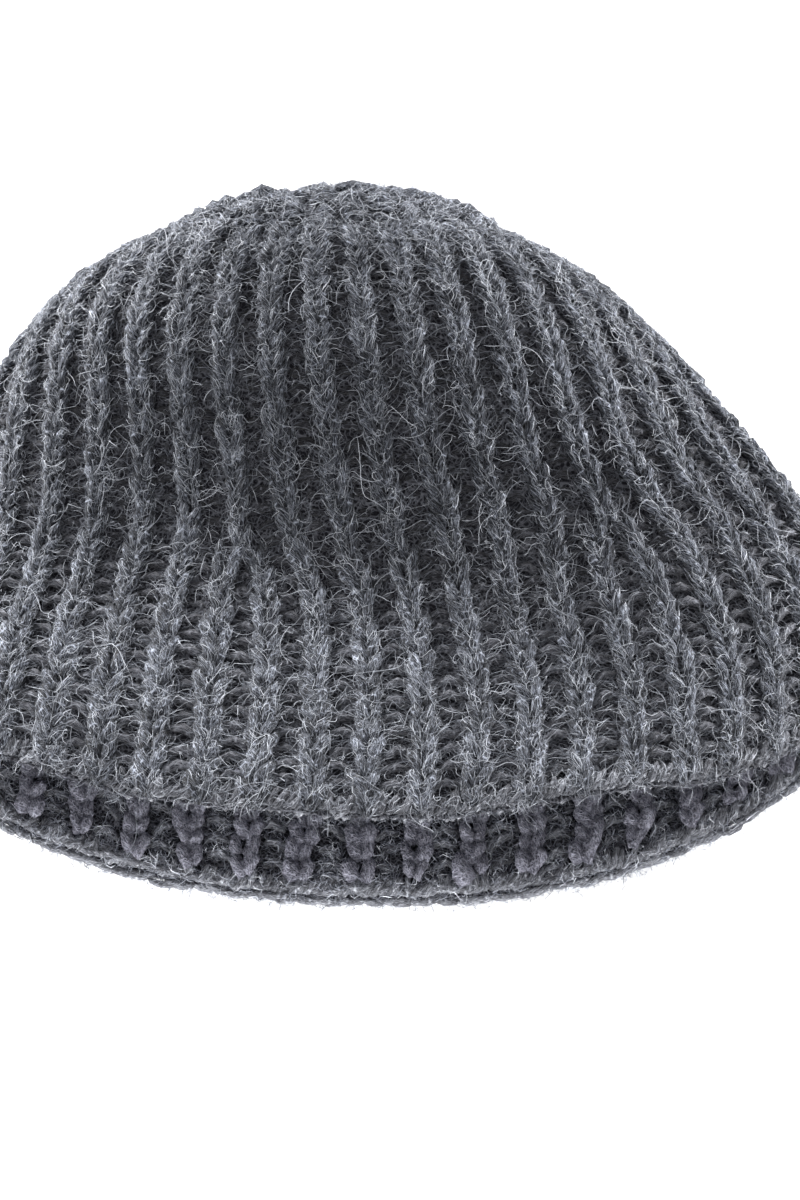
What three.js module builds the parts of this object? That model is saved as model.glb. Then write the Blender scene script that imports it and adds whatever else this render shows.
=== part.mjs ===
// A ribbed knit beanie lying on its back, in millimetres: +X to its right, +Y from the
// opening to the crown, +Z up. The origin is the middle of the foot of its bounding box.
//
// The fabric is one piece, knitted in the round from the cast-on edge to the crown, so it is
// one closed solid: an outer ribbed face, an inner ribbed face and a round edge joining them.

import * as THREE from "three";
import { mergeVertices } from "three/addons/utils/BufferGeometryUtils.js";

// Driving dimensions of the fabric.
const RIBS = 40;            // knit ribs round the rim
const FRONT_RIBS = 21;      // of them, ribs in the upper layer
const RIB_TURN = 0.25;      // how far the ribs are turned from the folds, in ribs
const FABRIC = 5.0;         // thickness between the middles of the two faces
const RIB_RISE = 1.0;       // each face rises and falls by this much about its middle
const EDGE_ROUND = 2.6;     // how far the cast-on edge bulges past the first round
const EDGE_BAND = 0.03;     // share of the height that the flat cast-on band takes
const EDGE_RIBS = 0.3;      // how much of the ribs' rise is left at the cast-on edge
const RIB_END = 0.76;       // share of the height where the ribs run into the gathered crown
const GATHER_RUN = 0.10;    // share of the height over which they fade
const CROWN_RIBS = 0.15;    // how much of the ribs' rise is left on the gathered crown
const FLOOR_PRESS = 0.5;    // a face this close to the floor is pressed flat on it

// One pair of ribs in each eight merges along a decrease line, so 40 become 35.
const DECREASE_EVERY = 8;
const DECREASE_START = 0.22;
const DECREASE_END = 0.34;
const MERGED_HALF_WIDTH = 0.22;   // of the merged rib's face, in ribs
const PAIR_MIDDLE_SHRINK = 0.18;  // what is left of the width between the pair

// One rib's four lines, in ribs from its own left side: its face, then the valley after it.
const RIB_LINES = [
  { place: 0.28, height: 1 },
  { place: 0.72, height: 1 },
  { place: 0.90, height: -1 },
  { place: 1.10, height: -1 },
];

// The middle of the fabric, a row for each section from rim to crown. Each section is a loop
// with a fold at each side: an arched front half and a back half that lies on the floor.
// skewY is how much farther from the opening the right fold lies than the plan's middle, and
// skewZ how much higher it lies.
const SECTION_COLUMNS = [
  "share", "centreX", "halfWidth", "foldY", "foldZ", "skewY", "skewZ",
  "frontY", "frontZ", "backY", "backZ",
];
const SECTIONS = [
  [0.00,  -3.0, 117.0,  43.5, 20, 2.0, -3.0,   7.0, 46.0,   6.8,  3.2],
  [0.13,  -2.0, 117.5,  77.5, 21, 2.0, -2.5,  39.0, 42.0,  38.0,  3.2],
  [0.26,  -4.0, 109.5, 106.5, 24, 1.5, -1.5,  72.5, 40.5,  71.0,  3.2],
  [0.39,  -8.0,  96.5, 130.0, 25, 0.0, -0.5,  99.0, 51.0,  96.0,  3.2],
  [0.52, -11.0,  84.5, 147.0, 27, 0.0,  0.0, 122.0, 66.5, 121.0,  3.4],
  [0.65, -12.5,  71.5, 160.5, 30, 0.0,  0.0, 142.0, 72.5, 143.5,  5.0],
  [0.78, -12.5,  54.0, 169.0, 35, 0.0,  0.0, 154.5, 75.0, 162.0, 10.0],
  [0.90, -11.5,  31.5, 179.5, 43, 0.0,  0.0, 171.0, 69.0, 177.0, 24.0],
  [1.00, -11.0,   0.0, 184.5, 50, 0.0,  0.0, 184.5, 50.0, 184.5, 50.0],
].map((row) => Object.fromEntries(SECTION_COLUMNS.map((name, i) => [name, row[i]])));

// How each half of a section bows from fold to fold: z = (1 - |c|^fullness)^(1/2) and
// y = 1 - |c|^round. The front half stays low farther out on its right, and the back half's
// lowest point leans to the right.
const FRONT_FULLNESS = 2.3;
const BACK_FULLNESS = 5.0;
const FRONT_ROUND = 2.0;
const FRONT_ROUNDER = 0.8;
const BACK_ROUND = 2.3;
const BACK_LEAN = 0.02;

// Hollows (depth above 0) and swells (below 0) of the lying fabric, and the puckers where the
// ribs end at the crown. rib is counted from the left fold, share from the rim.
const DENT_COLUMNS = ["rib", "share", "depth", "reach"];
const DENTS = [
  [5.5, 0.30, 3.5, 24],     // hollow where the rim flares from the dome, left
  [9.5, 0.22, 2.5, 24],     // the same crease nearer the middle
  [14.0, 0.12, 2.0, 22],    // and where it runs out to the right
  [16.5, 0.26, -2.5, 26],   // the fuller right side
  [3.5, 0.06, -2.0, 20],    // the lifted lip at the left
  [6.0, 0.00, 2.0, 9],      // waves of the rim
  [9.0, 0.00, -1.5, 9],
  [12.0, 0.00, 1.5, 9],
  [17.0, 0.00, 2.0, 10],
  [19.0, 0.02, 2.5, 26],    // the lower lip at the right
  [6.0, 0.74, 2.2, 4],      // puckers
  [8.1, 0.73, 2.4, 4],
  [9.9, 0.74, 2.4, 4],
  [11.6, 0.76, 2.0, 4],
  [14.0, 0.80, 1.6, 4],
  [3.0, 0.80, 1.6, 4],
].map((row) => Object.fromEntries(DENT_COLUMNS.map((name, i) => [name, row[i]])));

// Where the rounds of each face lie, as shares of the way from rim to crown.
const OUTER_ROUNDS = [
  0, 0.028, 0.05, 0.10, 0.16, 0.22, 0.28, 0.34, 0.40, 0.46, 0.52, 0.58, 0.64, 0.70, 0.76,
  0.82, 0.88, 0.94,
];
const INNER_ROUNDS = [0, 0.04, 0.12, 0.22, 0.32, 0.42, 0.52, 0.62, 0.72, 0.82, 0.91];
const ARC_STEPS = 120;      // steps along half a section when ribs are spread evenly on it
const NORMAL_STEP = 0.004;  // small share used to find the direction of the face

const COLOUR = 0x56585e;
const ROUGHNESS = 0.95;

const mix = (a, b, w) => a + (b - a) * w;

function smooth(value, from, to) {
  const w = Math.min(Math.max((value - from) / (to - from), 0), 1);
  return w * w * (3 - 2 * w);
}

// Smooth curve through one column of the section table.
function along(name, share) {
  const last = SECTIONS.length - 1;
  let i = 0;
  while (i < last - 1 && share > SECTIONS[i + 1].share) i += 1;
  const slope = (k) => {
    const before = SECTIONS[Math.max(k - 1, 0)];
    const after = SECTIONS[Math.min(k + 1, last)];
    return (after[name] - before[name]) / (after.share - before.share);
  };
  const run = SECTIONS[i + 1].share - SECTIONS[i].share;
  const u = (share - SECTIONS[i].share) / run;
  return (2 * u ** 3 - 3 * u ** 2 + 1) * SECTIONS[i][name]
    + (u ** 3 - 2 * u ** 2 + u) * run * slope(i)
    + (3 * u ** 2 - 2 * u ** 3) * SECTIONS[i + 1][name]
    + (u ** 3 - u ** 2) * run * slope(i + 1);
}

// One half of a section as a polyline from the right fold to the left one, with its length.
function halfSection(share, front) {
  const at = (name) => along(name, share);
  const [y, z] = front ? [at("frontY"), at("frontZ")] : [at("backY"), at("backZ")];
  const fullness = front ? FRONT_FULLNESS : BACK_FULLNESS;
  const points = [];
  const reach = [0];
  for (let i = 0; i <= ARC_STEPS; i += 1) {
    const c = Math.cos((Math.PI * i) / ARC_STEPS);
    const lift = Math.sqrt(Math.max(1 - Math.abs(c) ** fullness, 0));
    const bow = front
      ? Math.abs(c) ** (FRONT_ROUND + FRONT_ROUNDER * smooth(c, 0.4, 0.85))
      : Math.abs(c - BACK_LEAN * (1 - c * c)) ** BACK_ROUND;
    points.push(new THREE.Vector3(
      at("centreX") + at("halfWidth") * c,
      mix(at("foldY"), y, 1 - bow) + at("skewY") * c ** 3,
      mix(at("foldZ"), z, lift) + at("skewZ") * c ** 5,
    ));
    if (i > 0) reach.push(reach[i - 1] + points[i].distanceTo(points[i - 1]));
  }
  return { points, reach };
}

const halves = new Map();

function cachedHalf(share, front) {
  const key = `${share.toFixed(5)} ${front}`;
  if (!halves.has(key)) halves.set(key, halfSection(share, front));
  return halves.get(key);
}

// Where a line of the fabric runs round a section, from 0 to 1 starting at the right fold.
// line is counted in ribs from the left fold. Above the decreases the two ribs of a pair are
// one rib of the usual width, and the valley between them is a sliver inside it.
function roundPlace(line, share) {
  const group = Math.round(line / DECREASE_EVERY);
  const off = line - group * DECREASE_EVERY;
  const far = Math.abs(off);
  const half = DECREASE_EVERY / 2;
  const inner = RIB_LINES[0].place;
  const outer = RIB_LINES[1].place;
  const innerAfter = inner * PAIR_MIDDLE_SHRINK;
  let merged;
  if (far < inner) {
    merged = far * PAIR_MIDDLE_SHRINK;
  } else if (far < outer) {
    merged = mix(innerAfter, MERGED_HALF_WIDTH, (far - inner) / (outer - inner));
  } else {
    merged = mix(MERGED_HALF_WIDTH, half - 0.5, (far - outer) / (half - outer));
  }
  const before = line / RIBS;
  const after = (group + (Math.sign(off) * merged) / (DECREASE_EVERY - 1)) / (RIBS / DECREASE_EVERY);
  const place = mix(before, after, smooth(share, DECREASE_START, DECREASE_END));
  return (FRONT_RIBS + RIB_TURN) / RIBS - place;
}

// A point of the middle of the fabric before its dents.
function plainPoint(place, share) {
  const frontShare = FRONT_RIBS / RIBS;
  const turn = place - Math.floor(place);
  const front = turn < frontShare;
  const { points, reach } = cachedHalf(share, front);
  const part = front ? turn / frontShare : (1 - turn) / (1 - frontShare);
  const want = part * reach[ARC_STEPS];
  let low = 0;
  let high = ARC_STEPS;
  while (high - low > 1) {
    const half = (low + high) >> 1;
    if (reach[half] <= want) low = half;
    else high = half;
  }
  const run = reach[high] - reach[low];
  return points[low].clone().lerp(points[high], run > 0 ? (want - reach[low]) / run : 0);
}

// The direction out of the fabric, and the one along it towards the crown.
function directions(place, share) {
  const low = Math.max(share - NORMAL_STEP, 0);
  const high = Math.min(share + NORMAL_STEP, 1 - NORMAL_STEP);
  const up = plainPoint(place, high).sub(plainPoint(place, low)).normalize();
  const across = plainPoint(place + NORMAL_STEP, share)
    .sub(plainPoint(place - NORMAL_STEP, share)).normalize();
  return { up, out: up.clone().cross(across).normalize() };
}

const dentCentres = DENTS.map((dent) => plainPoint(roundPlace(dent.rib, dent.share), dent.share));

function dentDepth(point) {
  return DENTS.reduce((depth, dent, i) => {
    const far = point.distanceTo(dentCentres[i]) / dent.reach;
    return depth + dent.depth * Math.exp(-far * far);
  }, 0);
}

// How far the rib pattern stands out at a line: 1 on a rib, -1 in a valley, less where the
// ribs start at the cast-on band and where they end at the crown.
function ribHeight(line, height, share) {
  const off = Math.abs(line - DECREASE_EVERY * Math.round(line / DECREASE_EVERY));
  const between = off < RIB_LINES[0].place;
  const joined = between ? mix(height, 1, smooth(share, DECREASE_START, DECREASE_END)) : height;
  const start = mix(EDGE_RIBS, 1, smooth(share, 0, EDGE_BAND));
  const end = mix(1, CROWN_RIBS, smooth(share, RIB_END, RIB_END + GATHER_RUN));
  return joined * start * end;
}

// A point of the outer face (side 1) or of the inner one (side -1).
function facePoint(line, height, share, side) {
  const place = roundPlace(line, share);
  const middle = plainPoint(place, share);
  const { out } = directions(place, share);
  const offset = (side * FABRIC) / 2 + RIB_RISE * ribHeight(line, height, share);
  const point = middle.addScaledVector(out, offset - dentDepth(middle));
  if (point.z < FLOOR_PRESS && side > 0) point.z = 0;
  return point;
}

// A point of the round edge that joins the two faces at the rim.
function edgePoint(line) {
  const place = roundPlace(line, 0);
  const middle = plainPoint(place, 0);
  const { up, out } = directions(place, 0);
  middle.addScaledVector(out, -dentDepth(middle));
  const point = middle.addScaledVector(up, -EDGE_ROUND);
  if (point.z < FLOOR_PRESS) point.z = 0;
  return point;
}

// The crown's middle point on the outer or inner face.
function crownPoint(side) {
  const tip = plainPoint(0, 1);
  const near = SECTIONS[SECTIONS.length - 2];
  const base = new THREE.Vector3(near.centreX, (near.frontY + near.backY) / 2,
    (near.frontZ + near.backZ) / 2);
  const out = tip.clone().sub(base).normalize();
  return tip.addScaledVector(out, (side * FABRIC) / 2);
}

// The rings of points in order from the outer crown down to the rim and up inside again.
function shellRings() {
  const lines = [];
  for (let rib = 0; rib < RIBS; rib += 1) {
    for (const { place, height } of RIB_LINES) lines.push({ line: rib + place, height });
  }
  const face = (share, side) =>
    lines.map(({ line, height }) => facePoint(line, height, share, side));
  const outer = [...OUTER_ROUNDS].reverse().map((share) => face(share, 1));
  const edge = lines.map(({ line }) => edgePoint(line));
  const inner = INNER_ROUNDS.map((share) => face(share, -1));
  return [...outer, edge, ...inner];
}

function shellGeometry() {
  const rings = shellRings();
  const count = rings[0].length;
  const points = rings.flat();
  const first = points.push(crownPoint(1)) - 1;
  const last = points.push(crownPoint(-1)) - 1;
  const index = [];
  for (let k = 0; k < count; k += 1) {
    const next = (k + 1) % count;
    index.push(first, k, next);
    for (let ring = 0; ring < rings.length - 1; ring += 1) {
      const a = ring * count;
      const b = a + count;
      index.push(a + k, b + k, a + next, a + next, b + k, b + next);
    }
    const end = (rings.length - 1) * count;
    index.push(end + k, last, end + next);
  }
  const geometry = new THREE.BufferGeometry();
  const numbers = points.flatMap((p) => [p.x, p.y, p.z]);
  geometry.setAttribute("position", new THREE.Float32BufferAttribute(numbers, 3));
  geometry.setIndex(index);
  return mergeVertices(geometry, 1e-3);
}

// Moves a geometry so that the middle of the foot of its box is at the origin.
function standAtOrigin(geometry) {
  geometry.computeBoundingBox();
  const { min, max } = geometry.boundingBox;
  return geometry.translate(-(min.x + max.x) / 2, -(min.y + max.y) / 2, -min.z);
}

const beanie = new THREE.Group();
const knitBody = new THREE.Mesh(
  standAtOrigin(shellGeometry()),
  new THREE.MeshStandardMaterial({ color: COLOUR, roughness: ROUGHNESS, metalness: 0 }),
);
knitBody.name = "knit_body";
beanie.add(knitBody);

export default beanie;
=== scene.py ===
"""A ribbed knit beanie lying on its back, dressed with its stitches, yarn and hairs.

The cloth's middle is worked out in millimetres in the maker's frame, where +X is to the
right, +Y runs from the opening to the crown and +Z is up. Meshes are made in metres, moved
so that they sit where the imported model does.
"""

import logging
import math
from dataclasses import dataclass, field, replace
from enum import Enum
from typing import Callable, NamedTuple, Sequence

import bpy
import numpy as np
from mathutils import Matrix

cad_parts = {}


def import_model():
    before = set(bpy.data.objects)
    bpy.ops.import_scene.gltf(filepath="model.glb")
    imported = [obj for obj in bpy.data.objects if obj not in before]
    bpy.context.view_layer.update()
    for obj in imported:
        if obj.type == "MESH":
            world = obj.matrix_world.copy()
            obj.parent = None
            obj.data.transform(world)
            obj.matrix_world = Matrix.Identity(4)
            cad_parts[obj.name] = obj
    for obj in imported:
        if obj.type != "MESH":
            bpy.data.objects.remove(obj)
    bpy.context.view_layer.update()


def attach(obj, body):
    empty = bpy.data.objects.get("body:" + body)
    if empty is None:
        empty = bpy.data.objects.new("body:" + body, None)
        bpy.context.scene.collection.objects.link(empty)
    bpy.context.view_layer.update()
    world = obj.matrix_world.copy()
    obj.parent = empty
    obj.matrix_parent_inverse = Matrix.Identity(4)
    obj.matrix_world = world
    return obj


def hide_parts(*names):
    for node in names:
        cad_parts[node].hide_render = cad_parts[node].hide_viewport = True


LOG = logging.getLogger("beanie")

MM = 0.001                      # one millimetre in metres
NODE = "knit_body"
BODY = "root"
SEED = 20
ORIGIN = (-2.167, 95.538, 0.0)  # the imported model's origin in the maker's frame
FRONT_LIMIT = -7.0              # no hair reaches further to the front, in millimetres
TOP_LIMIT = 87.0                # no hair reaches higher, in millimetres
FLOOR_GAP = 0.05                # the lowest any strand lies, in millimetres
BAKE_MARGIN = 0.06              # the share of a bake cell left free on each side
MAP_STEP = 3.7                  # millimetres from one strand's yarn map to the next one's
MAP_LENGTH = 997                # millimetres after which the yarn maps start again
MAP_TURNS = 1.5                 # the most turns that a face corner's angle reaches
READ_STEPS = 9                  # how many places of a strand its hairs are read from
TOUCH = 1e-4                    # points nearer than this count as one


class Face(Enum):
    """The two faces of the cloth, as the sign of the way out of it."""

    OUTER = 1
    INNER = -1


class Section(NamedTuple):
    """One loop round the cap, in millimetres.

    The share is the way from rim to crown. The fold is where the loop turns from the upper
    layer, whose middle is the front, to the lower one, whose middle is the back.
    """

    share: float
    centre_x: float
    half_width: float
    fold_y: float
    fold_z: float
    skew_y: float
    skew_z: float
    front_y: float
    front_z: float
    back_y: float
    back_z: float


SECTIONS = (
    Section(0.00, -3, 117.0, 43.5, 20, 2, -3, 7.0, 46.0, 6.8, 3.2),
    Section(0.13, -2, 117.5, 77.5, 21, 2, -2.5, 39.0, 42.0, 38.0, 3.2),
    Section(0.26, -4, 109.5, 106.5, 24, 1.5, -1.5, 72.5, 40.5, 71.0, 3.2),
    Section(0.39, -8, 96.5, 130.0, 25, 0, -0.5, 99.0, 51.0, 96.0, 3.2),
    Section(0.52, -11, 84.5, 147.0, 27, 0, 0, 122.0, 66.5, 121.0, 3.4),
    Section(0.65, -12.5, 71.5, 160.5, 30, 0, 0, 142.0, 72.5, 143.5, 5.0),
    Section(0.78, -12.5, 54.0, 169.0, 35, 0, 0, 154.5, 75.0, 162.0, 10.0),
    Section(0.90, -11.5, 31.5, 179.5, 43, 0, 0, 171.0, 69.0, 177.0, 24.0),
    Section(1.00, -11, 0.0, 184.5, 50, 0, 0, 184.5, 50.0, 184.5, 50.0),
)


class Dent(NamedTuple):
    """A hollow in the cloth, or a swell where its depth is below 0, in millimetres."""

    rib: float
    share: float
    depth: float
    reach: float


DENTS = (
    Dent(5.5, 0.30, 3.5, 24),
    Dent(9.5, 0.22, 2.5, 24),
    Dent(14.0, 0.12, 2.0, 22),
    Dent(16.5, 0.26, -2.5, 26),
    Dent(3.5, 0.06, -2.0, 20),
    Dent(6.0, 0.00, 2.0, 9),
    Dent(9.0, 0.00, -1.5, 9),
    Dent(12.0, 0.00, 1.5, 9),
    Dent(17.0, 0.00, 2.0, 10),
    Dent(19.0, 0.02, 2.5, 26),
    Dent(6.0, 0.74, 2.2, 4),
    Dent(8.1, 0.73, 2.4, 4),
    Dent(9.9, 0.74, 2.4, 4),
    Dent(11.6, 0.76, 2.0, 4),
    Dent(14.0, 0.80, 1.6, 4),
    Dent(3.0, 0.80, 1.6, 4),
)


def smooth(value: np.ndarray, start: float, end: float) -> np.ndarray:
    """Eases from 0 at start to 1 at end.

    Args:
        value: The numbers to ease.
        start: Where the rise begins.
        end: Where it is done.

    Returns:
        The eased numbers, from 0 to 1.
    """
    w = np.clip((np.asarray(value, float) - start) / (end - start), 0.0, 1.0)
    return w * w * (3 - 2 * w)


def unit(vectors: np.ndarray) -> np.ndarray:
    """Returns the vectors at length 1."""
    return vectors / np.maximum(np.linalg.norm(vectors, axis=-1, keepdims=True), 1e-9)


def curve_weights(u: np.ndarray | float) -> tuple:
    """Returns the weights of a smooth curve between two points, at u from 0 to 1.

    They go with the first point, its slope, the second point and its slope.
    """
    return (2 * u**3 - 3 * u**2 + 1, u**3 - 2 * u**2 + u, 3 * u**2 - 2 * u**3, u**3 - u**2)


class Spot(NamedTuple):
    """Places on the cloth's middle with their directions and local scales."""

    point: np.ndarray
    out: np.ndarray
    up: np.ndarray
    across: np.ndarray
    round_scale: np.ndarray
    rise_scale: np.ndarray


@dataclass
class Cloth:
    """The middle of the lying fabric as a fine grid that places stitches.

    The front is the upper layer and the back is the one that lies on the floor. Every eighth
    valley runs out in a decrease, where the ribs at its sides merge into one.
    """

    ribs: int = 40
    front_ribs: int = 21
    rib_turn: float = 0.25
    decrease_every: int = 8
    decrease_start: float = 0.22
    decrease_end: float = 0.34
    pair_inner: float = 0.28
    pair_outer: float = 0.72
    merged_half: float = 0.22
    pair_shrink: float = 0.18
    thickness: float = 5.0
    front_fullness: float = 2.3
    back_fullness: float = 5.0
    front_round: float = 2.0
    front_rounder: float = 0.8
    back_round: float = 2.3
    back_lean: float = 0.02
    side_start: float = 0.4
    side_end: float = 0.85
    half_steps: int = 160
    places: int = 600
    shares: int = 240
    least_round: float = 25.0
    last_share: float = 0.999
    grid: Spot = field(init=False)

    def __post_init__(self) -> None:
        """Builds the grid, dents it and finds its directions."""
        levels = np.linspace(0.0, 1.0, self.shares + 1)
        turns = np.linspace(0.0, 1.0, self.places + 1)
        points = np.array([self.loop(level, turns) for level in levels])
        plain = self.with_directions(points)
        depth = np.zeros(points.shape[:2])
        self.grid = plain
        for dent in DENTS:
            place = self.round_place(np.array([dent.rib]), np.array([dent.share]))
            centre = self.at(place, np.array([dent.share])).point[0]
            far = np.linalg.norm(points - centre, axis=2) / dent.reach
            depth += dent.depth * np.exp(-far * far)
        self.grid = self.with_directions(points - plain.out * depth[:, :, None])

    def along(self, share: float) -> Section:
        """Returns the section at a share of the way, on smooth curves through the table."""
        table = np.array(SECTIONS)
        shares = table[:, 0]
        i = int(np.clip(np.searchsorted(shares, share, side="right") - 1, 0, len(shares) - 2))
        slopes = np.empty_like(table)
        slopes[1:-1] = (table[2:] - table[:-2]) / (shares[2:] - shares[:-2])[:, None]
        slopes[0] = (table[1] - table[0]) / (shares[1] - shares[0])
        slopes[-1] = (table[-1] - table[-2]) / (shares[-1] - shares[-2])
        run = shares[i + 1] - shares[i]
        first, leaving, second, arriving = curve_weights((share - shares[i]) / run)
        row = (
            first * table[i] + leaving * run * slopes[i]
            + second * table[i + 1] + arriving * run * slopes[i + 1]
        )
        return Section(*row)

    def loop(self, share: float, turns: np.ndarray) -> np.ndarray:
        """Returns points round one section, the ribs being spread evenly along each half.

        Args:
            share: The way from rim to crown, 0 to 1.
            turns: The places round the section, 0 to 1 from the right fold.
        """
        s = self.along(share)
        c = np.cos(np.linspace(0.0, math.pi, self.half_steps + 1))
        rounder = self.front_rounder * smooth(c, self.side_start, self.side_end)
        front_bow = np.abs(c) ** (self.front_round + rounder)
        back_bow = np.abs(c - self.back_lean * (1 - c * c)) ** self.back_round
        front_share = self.front_ribs / self.ribs
        result = np.zeros((len(turns), 3))
        halves = (
            (turns <= front_share, turns / front_share, s.front_y, s.front_z,
             self.front_fullness, front_bow),
            (turns > front_share, (1 - turns) / (1 - front_share), s.back_y, s.back_z,
             self.back_fullness, back_bow),
        )
        for chosen, part, y, z, fullness, bow in halves:
            lift = np.sqrt(np.maximum(1 - np.abs(c) ** fullness, 0.0))
            line = np.stack([
                s.centre_x + s.half_width * c,
                s.fold_y + (y - s.fold_y) * (1 - bow) + s.skew_y * c**3,
                s.fold_z + (z - s.fold_z) * lift + s.skew_z * c**5,
            ], axis=1)
            reach = np.concatenate([[0], np.cumsum(np.linalg.norm(np.diff(line, axis=0), axis=1))])
            want = part[chosen] * reach[-1]
            for axis in range(3):
                result[chosen, axis] = np.interp(want, reach, line[:, axis])
        return result

    def with_directions(self, points: np.ndarray) -> Spot:
        """Returns the grid of points with the ways out, up and across at each of them."""
        round_step = 1.0 / self.places
        ring = points[:, :-1]
        across = (np.roll(ring, -1, axis=1) - np.roll(ring, 1, axis=1)) / (2 * round_step)
        across = np.concatenate([across, across[:, :1]], axis=1)
        up = np.gradient(points, 1.0 / self.shares, axis=0)
        across[-1] = across[-2]
        round_scale = np.linalg.norm(across, axis=2)
        rise_scale = np.linalg.norm(up, axis=2)
        out = unit(np.cross(up, across))
        return Spot(points, out, unit(up), unit(across), round_scale, rise_scale)

    def round_place(self, line: np.ndarray, share: np.ndarray) -> np.ndarray:
        """Returns where a line of the fabric runs round a section, 0 to 1.

        Args:
            line: The line, counted in ribs from the left fold.
            share: The way from rim to crown, which says how far pairs have merged.
        """
        group = np.round(line / self.decrease_every)
        off = line - group * self.decrease_every
        half = self.decrease_every / 2
        known = [0.0, self.pair_inner, self.pair_outer, half]
        merged = [0.0, self.pair_inner * self.pair_shrink, self.merged_half, half - 0.5]
        off_after = np.interp(np.abs(off), known, merged) * np.sign(off)
        groups = self.ribs / self.decrease_every
        before = line / self.ribs
        after = (group + off_after / (self.decrease_every - 1)) / groups
        w = smooth(share, self.decrease_start, self.decrease_end)
        return (self.front_ribs + self.rib_turn) / self.ribs - (before + (after - before) * w)

    def at(self, place: np.ndarray, share: np.ndarray) -> Spot:
        """Reads the grid between its points; past the rim it runs straight on.

        Args:
            place: Places round the cap, of which whole turns don't matter.
            share: Shares of the way from rim to crown, a little below 0 past the rim.
        """
        col = (place - np.floor(place)) * self.places
        row = np.clip(share, 0.0, 1.0) * self.shares
        c0 = np.minimum(col.astype(int), self.places - 1)
        r0 = np.minimum(row.astype(int), self.shares - 1)
        u = (col - c0)[..., None]
        v = (row - r0)[..., None]

        def read(values: np.ndarray) -> np.ndarray:
            """Returns one field of the grid between its four nearest points."""
            flat = values.ndim == 2
            four = values[..., None] if flat else values
            low = four[r0, c0] * (1 - u) + four[r0, c0 + 1] * u
            high = four[r0 + 1, c0] * (1 - u) + four[r0 + 1, c0 + 1] * u
            mixed = low * (1 - v) + high * v
            return mixed[..., 0] if flat else mixed

        point, out, up, across, round_scale, rise_scale = (read(part) for part in self.grid)
        up = unit(up)
        past = np.minimum(share, 0.0) * rise_scale
        return Spot(
            point + up * past[..., None], unit(out), up, unit(across),
            np.maximum(round_scale, self.least_round), rise_scale,
        )

    def laid(self, line: np.ndarray, share: np.ndarray, local: np.ndarray,
             face: Face) -> tuple[np.ndarray, np.ndarray]:
        """Places points that follow a line of the fabric as it bends.

        Args:
            line: The line of each stitch, in ribs from the left fold.
            share: Its share of the way from rim to crown.
            local: Millimetres across, up and out from it, (count, points, 3).
            face: The face of the cloth that it lies on.

        Returns:
            The points, (count, points, 3), and the way out at each stitch, (count, 3).
        """
        first = self.at(self.round_place(line, share), share)
        share_there = share[:, None] + local[..., 1] / first.rise_scale[:, None]
        share_there = np.minimum(share_there, self.last_share)
        place = self.round_place(line[:, None], share_there)
        place = place + local[..., 0] / first.round_scale[:, None]
        spot = self.at(place, share_there)
        points = spot.point + spot.out * (local[..., 2] * face.value)[..., None]
        return points, first.out * face.value


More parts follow.
